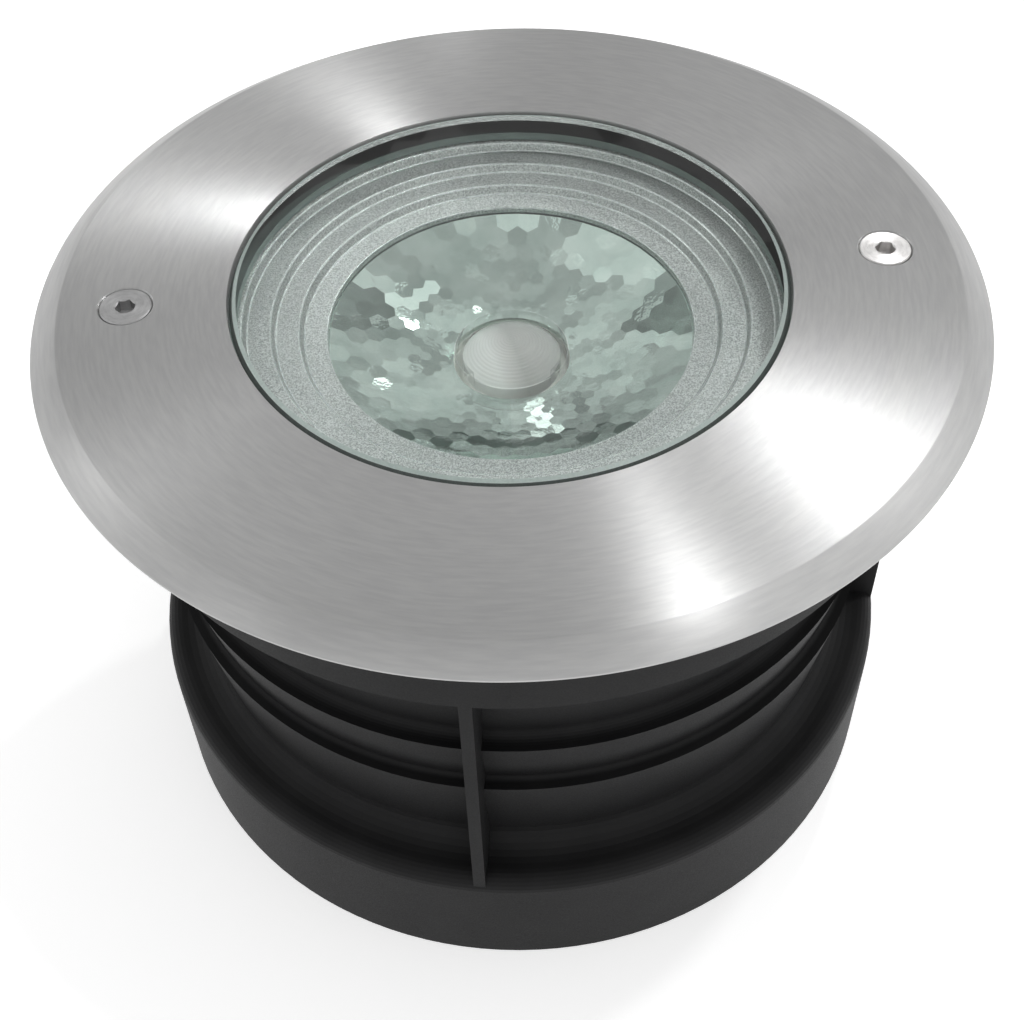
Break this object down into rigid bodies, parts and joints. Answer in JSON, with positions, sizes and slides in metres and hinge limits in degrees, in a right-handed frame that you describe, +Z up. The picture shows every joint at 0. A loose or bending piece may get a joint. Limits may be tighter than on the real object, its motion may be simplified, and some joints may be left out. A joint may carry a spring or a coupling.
{
  "type": "recessed ground light",
  "caption": "Round walk-over garden light set in the ground: a screwed steel cover ring, flush glass, stepped bezel and facetted reflector over a ribbed sleeve.",
  "frame": {"origin": "on the light's axis, on the ground under the sleeve's foot", "axes": "+Z up through the glass, +Y towards the cable notch at the back, +X to the right as the picture shows it"},
  "size_m": [0.21, 0.21, 0.135],
  "materials": {
    "sleeve_plastic": "moulded, fine grain",
    "brass": "turned",
    "brushed_ring": "brushed round the axis",
    "clear_glass": "clear, green at the edge",
    "black_rubber": "satin",
    "bezel_silver": "sparkling textured paint",
    "reflector_mirror": "vacuum metallised",
    "lens_clear": "clear",
    "white_plastic": "satin",
    "screw_steel": "turned",
    "board_white": "satin",
    "emitter_yellow": "silicone with phosphor",
    "bare_aluminium": "as machined",
    "dark_casting": "powder coated casting",
    "red_lead": "silicone sheath",
    "gland_plastic": "moulded",
    "washer_nylon": "nylon"
  },
  "bodies": {
    "sleeve": {"sleeve": "sleeve_plastic", "thread_inserts": "brass"},
    "lamp": {"cover_ring": "brushed_ring", "glass": "clear_glass", "glass_gasket": "black_rubber", "bezel": "bezel_silver", "reflector": "reflector_mirror", "lens": "lens_clear", "lens_collar": "lens_clear", "led_holder": "white_plastic", "holder_screws": "screw_steel", "led_board": "board_white", "led_emitter": "emitter_yellow", "heat_plate": "bare_aluminium", "plate_screws": "screw_steel", "lamp_body": "dark_casting", "ring_screws": "screw_steel", "driver": "white_plastic", "driver_bracket": "bare_aluminium", "bracket_screws": "screw_steel", "terminal_block": "white_plastic", "led_leads": "red_lead", "rear_cover": "dark_casting", "cover_seal": "black_rubber", "cover_screws": "screw_steel", "breather_valve": "gland_plastic", "gland_body": "gland_plastic", "gland_washer": "black_rubber", "gland_locknut": "gland_plastic", "gland_seal": "black_rubber"},
    "washer_right": {"captive_washer_right": "washer_nylon"},
    "washer_left": {"captive_washer_left": "washer_nylon"},
    "screw_right": {"fixing_screw_right": "screw_steel"},
    "screw_left": {"fixing_screw_left": "screw_steel"},
    "cap_nut": {"gland_nut": "gland_plastic"}
  },
  "joints": [
    {"name": "lift_out", "type": "slide", "parent": "sleeve", "child": "lamp", "axis": [0, 0, 1], "range_m": [0, 0.12]},
    {"name": "right_screw_rise", "type": "slide", "parent": "lamp", "child": "washer_right", "axis": [0, 0, 1], "range_m": [0, 0.008]},
    {"name": "right_screw_turn", "type": "hinge", "parent": "washer_right", "child": "screw_right", "pos_m": [0.08382, 0.00557, 0.1225], "axis": [0, 0, 1], "range_deg": [0, 2880]},
    {"name": "left_screw_rise", "type": "slide", "parent": "lamp", "child": "washer_left", "axis": [0, 0, 1], "range_m": [0, 0.008]},
    {"name": "left_screw_turn", "type": "hinge", "parent": "washer_left", "child": "screw_left", "pos_m": [-0.08382, -0.00557, 0.1225], "axis": [0, 0, 1], "range_deg": [0, 2880]},
    {"name": "gland_nut_turn", "type": "hinge", "parent": "lamp", "child": "cap_nut", "pos_m": [0, 0.02453, 0.0205], "axis": [0, 0, 1], "range_deg": [0, 540]}
  ],
  "couplings": [
    {"joint": "right_screw_turn", "follows": "right_screw_rise", "rad_per_m": 6283.2},
    {"joint": "left_screw_turn", "follows": "left_screw_rise", "rad_per_m": 6283.2}
  ]
}
